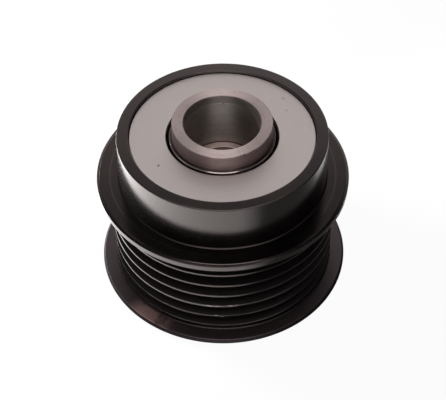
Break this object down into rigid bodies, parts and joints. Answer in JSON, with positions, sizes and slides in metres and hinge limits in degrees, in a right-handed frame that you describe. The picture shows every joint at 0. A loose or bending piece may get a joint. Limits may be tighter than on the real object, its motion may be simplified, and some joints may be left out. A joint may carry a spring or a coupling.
{
  "type": "overrunning alternator pulley",
  "caption": "Black ribbed belt pulley with two flanges and a raised neck, on a one-way clutch hub with a stepped, threaded bore; it lets the alternator's shaft run ahead of the belt.",
  "frame": {"origin": "centre of the front flange's face, on the axis, where the pulley stands", "axes": "+Z along the axis, from the front face to the rear end that takes the alternator's shaft"},
  "size_m": [0.0572, 0.0572, 0.0423],
  "materials": {
    "black_oxide_steel": "black oxide over turned steel, satin to glossy",
    "dull_plate": "matt grey plate on a stamped washer",
    "machined_steel": "bare turned steel, slightly warm, oiled",
    "ground_steel": "hardened, ground races and rollers",
    "spring_steel": "rolled spring strip",
    "cage_nylon": "glass-filled nylon, natural brown",
    "seal_rubber": "moulded black rubber"
  },
  "bodies": {
    "pulley": {"pulley_ring": "black_oxide_steel", "outer_race": "ground_steel", "rear_washer": "dull_plate", "rear_seal": "seal_rubber", "front_seal": "seal_rubber"},
    "hub": {"hub": "machined_steel", "clutch_inner_ring": "ground_steel", "clutch_cage": "cage_nylon", "clutch_roller_01": "ground_steel", "clutch_roller_02": "ground_steel", "clutch_roller_03": "ground_steel", "clutch_roller_04": "ground_steel", "clutch_roller_05": "ground_steel", "clutch_roller_06": "ground_steel", "clutch_roller_07": "ground_steel", "clutch_roller_08": "ground_steel", "clutch_roller_09": "ground_steel", "clutch_spring_01": "spring_steel", "clutch_spring_02": "spring_steel", "clutch_spring_03": "spring_steel", "clutch_spring_04": "spring_steel", "clutch_spring_05": "spring_steel", "clutch_spring_06": "spring_steel", "clutch_spring_07": "spring_steel", "clutch_spring_08": "spring_steel", "clutch_spring_09": "spring_steel"},
    "front_cage": {"front_needle_cage": "cage_nylon"},
    "front_needle_01": {"front_needle_01": "ground_steel"},
    "front_needle_02": {"front_needle_02": "ground_steel"},
    "front_needle_03": {"front_needle_03": "ground_steel"},
    "front_needle_04": {"front_needle_04": "ground_steel"},
    "front_needle_05": {"front_needle_05": "ground_steel"},
    "front_needle_06": {"front_needle_06": "ground_steel"},
    "front_needle_07": {"front_needle_07": "ground_steel"},
    "front_needle_08": {"front_needle_08": "ground_steel"},
    "front_needle_09": {"front_needle_09": "ground_steel"},
    "front_needle_10": {"front_needle_10": "ground_steel"},
    "front_needle_11": {"front_needle_11": "ground_steel"},
    "front_needle_12": {"front_needle_12": "ground_steel"},
    "front_needle_13": {"front_needle_13": "ground_steel"},
    "front_needle_14": {"front_needle_14": "ground_steel"},
    "rear_cage": {"rear_needle_cage": "cage_nylon"},
    "rear_needle_01": {"rear_needle_01": "ground_steel"},
    "rear_needle_02": {"rear_needle_02": "ground_steel"},
    "rear_needle_03": {"rear_needle_03": "ground_steel"},
    "rear_needle_04": {"rear_needle_04": "ground_steel"},
    "rear_needle_05": {"rear_needle_05": "ground_steel"},
    "rear_needle_06": {"rear_needle_06": "ground_steel"},
    "rear_needle_07": {"rear_needle_07": "ground_steel"},
    "rear_needle_08": {"rear_needle_08": "ground_steel"},
    "rear_needle_09": {"rear_needle_09": "ground_steel"},
    "rear_needle_10": {"rear_needle_10": "ground_steel"},
    "rear_needle_11": {"rear_needle_11": "ground_steel"},
    "rear_needle_12": {"rear_needle_12": "ground_steel"},
    "rear_needle_13": {"rear_needle_13": "ground_steel"},
    "rear_needle_14": {"rear_needle_14": "ground_steel"}
  },
  "joints": [
    {"name": "hub_spin", "type": "hinge", "parent": "pulley", "child": "hub", "pos_m": [0, 0, 0.02], "axis": [0, 0, 1], "continuous": true},
    {"name": "front_cage_spin", "type": "hinge", "parent": "pulley", "child": "front_cage", "pos_m": [0, 0, 0.01095], "axis": [0, 0, 1], "continuous": true},
    {"name": "front_needle_01_spin", "type": "hinge", "parent": "front_cage", "child": "front_needle_01", "pos_m": [0.0152, 0, 0.01095], "axis": [0, 0, 1], "continuous": true},
    {"name": "front_needle_02_spin", "type": "hinge", "parent": "front_cage", "child": "front_needle_02", "pos_m": [0.01369, 0.0066, 0.01095], "axis": [0, 0, 1], "continuous": true},
    {"name": "front_needle_03_spin", "type": "hinge", "parent": "front_cage", "child": "front_needle_03", "pos_m": [0.00948, 0.01188, 0.01095], "axis": [0, 0, 1], "continuous": true},
    {"name": "front_needle_04_spin", "type": "hinge", "parent": "front_cage", "child": "front_needle_04", "pos_m": [0.00338, 0.01482, 0.01095], "axis": [0, 0, 1], "continuous": true},
    {"name": "front_needle_05_spin", "type": "hinge", "parent": "front_cage", "child": "front_needle_05", "pos_m": [-0.00338, 0.01482, 0.01095], "axis": [0, 0, 1], "continuous": true},
    {"name": "front_needle_06_spin", "type": "hinge", "parent": "front_cage", "child": "front_needle_06", "pos_m": [-0.00948, 0.01188, 0.01095], "axis": [0, 0, 1], "continuous": true},
    {"name": "front_needle_07_spin", "type": "hinge", "parent": "front_cage", "child": "front_needle_07", "pos_m": [-0.01369, 0.0066, 0.01095], "axis": [0, 0, 1], "continuous": true},
    {"name": "front_needle_08_spin", "type": "hinge", "parent": "front_cage", "child": "front_needle_08", "pos_m": [-0.0152, 0, 0.01095], "axis": [0, 0, 1], "continuous": true},
    {"name": "front_needle_09_spin", "type": "hinge", "parent": "front_cage", "child": "front_needle_09", "pos_m": [-0.01369, -0.0066, 0.01095], "axis": [0, 0, 1], "continuous": true},
    {"name": "front_needle_10_spin", "type": "hinge", "parent": "front_cage", "child": "front_needle_10", "pos_m": [-0.00948, -0.01188, 0.01095], "axis": [0, 0, 1], "continuous": true},
    {"name": "front_needle_11_spin", "type": "hinge", "parent": "front_cage", "child": "front_needle_11", "pos_m": [-0.00338, -0.01482, 0.01095], "axis": [0, 0, 1], "continuous": true},
    {"name": "front_needle_12_spin", "type": "hinge", "parent": "front_cage", "child": "front_needle_12", "pos_m": [0.00338, -0.01482, 0.01095], "axis": [0, 0, 1], "continuous": true},
    {"name": "front_needle_13_spin", "type": "hinge", "parent": "front_cage", "child": "front_needle_13", "pos_m": [0.00948, -0.01188, 0.01095], "axis": [0, 0, 1], "continuous": true},
    {"name": "front_needle_14_spin", "type": "hinge", "parent": "front_cage", "child": "front_needle_14", "pos_m": [0.01369, -0.0066, 0.01095], "axis": [0, 0, 1], "continuous": true},
    {"name": "rear_cage_spin", "type": "hinge", "parent": "pulley", "child": "rear_cage", "pos_m": [0, 0, 0.02915], "axis": [0, 0, 1], "continuous": true},
    {"name": "rear_needle_01_spin", "type": "hinge", "parent": "rear_cage", "child": "rear_needle_01", "pos_m": [0.0152, 0, 0.02915], "axis": [0, 0, 1], "continuous": true},
    {"name": "rear_needle_02_spin", "type": "hinge", "parent": "rear_cage", "child": "rear_needle_02", "pos_m": [0.01369, 0.0066, 0.02915], "axis": [0, 0, 1], "continuous": true},
    {"name": "rear_needle_03_spin", "type": "hinge", "parent": "rear_cage", "child": "rear_needle_03", "pos_m": [0.00948, 0.01188, 0.02915], "axis": [0, 0, 1], "continuous": true},
    {"name": "rear_needle_04_spin", "type": "hinge", "parent": "rear_cage", "child": "rear_needle_04", "pos_m": [0.00338, 0.01482, 0.02915], "axis": [0, 0, 1], "continuous": true},
    {"name": "rear_needle_05_spin", "type": "hinge", "parent": "rear_cage", "child": "rear_needle_05", "pos_m": [-0.00338, 0.01482, 0.02915], "axis": [0, 0, 1], "continuous": true},
    {"name": "rear_needle_06_spin", "type": "hinge", "parent": "rear_cage", "child": "rear_needle_06", "pos_m": [-0.00948, 0.01188, 0.02915], "axis": [0, 0, 1], "continuous": true},
    {"name": "rear_needle_07_spin", "type": "hinge", "parent": "rear_cage", "child": "rear_needle_07", "pos_m": [-0.01369, 0.0066, 0.02915], "axis": [0, 0, 1], "continuous": true},
    {"name": "rear_needle_08_spin", "type": "hinge", "parent": "rear_cage", "child": "rear_needle_08", "pos_m": [-0.0152, 0, 0.02915], "axis": [0, 0, 1], "continuous": true},
    {"name": "rear_needle_09_spin", "type": "hinge", "parent": "rear_cage", "child": "rear_needle_09", "pos_m": [-0.01369, -0.0066, 0.02915], "axis": [0, 0, 1], "continuous": true},
    {"name": "rear_needle_10_spin", "type": "hinge", "parent": "rear_cage", "child": "rear_needle_10", "pos_m": [-0.00948, -0.01188, 0.02915], "axis": [0, 0, 1], "continuous": true},
    {"name": "rear_needle_11_spin", "type": "hinge", "parent": "rear_cage", "child": "rear_needle_11", "pos_m": [-0.00338, -0.01482, 0.02915], "axis": [0, 0, 1], "continuous": true},
    {"name": "rear_needle_12_spin", "type": "hinge", "parent": "rear_cage", "child": "rear_needle_12", "pos_m": [0.00338, -0.01482, 0.02915], "axis": [0, 0, 1], "continuous": true},
    {"name": "rear_needle_13_spin", "type": "hinge", "parent": "rear_cage", "child": "rear_needle_13", "pos_m": [0.00948, -0.01188, 0.02915], "axis": [0, 0, 1], "continuous": true},
    {"name": "rear_needle_14_spin", "type": "hinge", "parent": "rear_cage", "child": "rear_needle_14", "pos_m": [0.01369, -0.0066, 0.02915], "axis": [0, 0, 1], "continuous": true}
  ],
  "couplings": [
    {"joint": "front_cage_spin", "follows": "hub_spin", "ratio": 0.44737},
    {"joint": "front_needle_01_spin", "follows": "hub_spin", "ratio": -5.0105},
    {"joint": "front_needle_02_spin", "follows": "hub_spin", "ratio": -5.0105},
    {"joint": "front_needle_03_spin", "follows": "hub_spin", "ratio": -5.0105},
    {"joint": "front_needle_04_spin", "follows": "hub_spin", "ratio": -5.0105},
    {"joint": "front_needle_05_spin", "follows": "hub_spin", "ratio": -5.0105},
    {"joint": "front_needle_06_spin", "follows": "hub_spin", "ratio": -5.0105},
    {"joint": "front_needle_07_spin", "follows": "hub_spin", "ratio": -5.0105},
    {"joint": "front_needle_08_spin", "follows": "hub_spin", "ratio": -5.0105},
    {"joint": "front_needle_09_spin", "follows": "hub_spin", "ratio": -5.0105},
    {"joint": "front_needle_10_spin", "follows": "hub_spin", "ratio": -5.0105},
    {"joint": "front_needle_11_spin", "follows": "hub_spin", "ratio": -5.0105},
    {"joint": "front_needle_12_spin", "follows": "hub_spin", "ratio": -5.0105},
    {"joint": "front_needle_13_spin", "follows": "hub_spin", "ratio": -5.0105},
    {"joint": "front_needle_14_spin", "follows": "hub_spin", "ratio": -5.0105},
    {"joint": "rear_cage_spin", "follows": "hub_spin", "ratio": 0.44737},
    {"joint": "rear_needle_01_spin", "follows": "hub_spin", "ratio": -5.0105},
    {"joint": "rear_needle_02_spin", "follows": "hub_spin", "ratio": -5.0105},
    {"joint": "rear_needle_03_spin", "follows": "hub_spin", "ratio": -5.0105},
    {"joint": "rear_needle_04_spin", "follows": "hub_spin", "ratio": -5.0105},
    {"joint": "rear_needle_05_spin", "follows": "hub_spin", "ratio": -5.0105},
    {"joint": "rear_needle_06_spin", "follows": "hub_spin", "ratio": -5.0105},
    {"joint": "rear_needle_07_spin", "follows": "hub_spin", "ratio": -5.0105},
    {"joint": "rear_needle_08_spin", "follows": "hub_spin", "ratio": -5.0105},
    {"joint": "rear_needle_09_spin", "follows": "hub_spin", "ratio": -5.0105},
    {"joint": "rear_needle_10_spin", "follows": "hub_spin", "ratio": -5.0105},
    {"joint": "rear_needle_11_spin", "follows": "hub_spin", "ratio": -5.0105},
    {"joint": "rear_needle_12_spin", "follows": "hub_spin", "ratio": -5.0105},
    {"joint": "rear_needle_13_spin", "follows": "hub_spin", "ratio": -5.0105},
    {"joint": "rear_needle_14_spin", "follows": "hub_spin", "ratio": -5.0105}
  ]
}
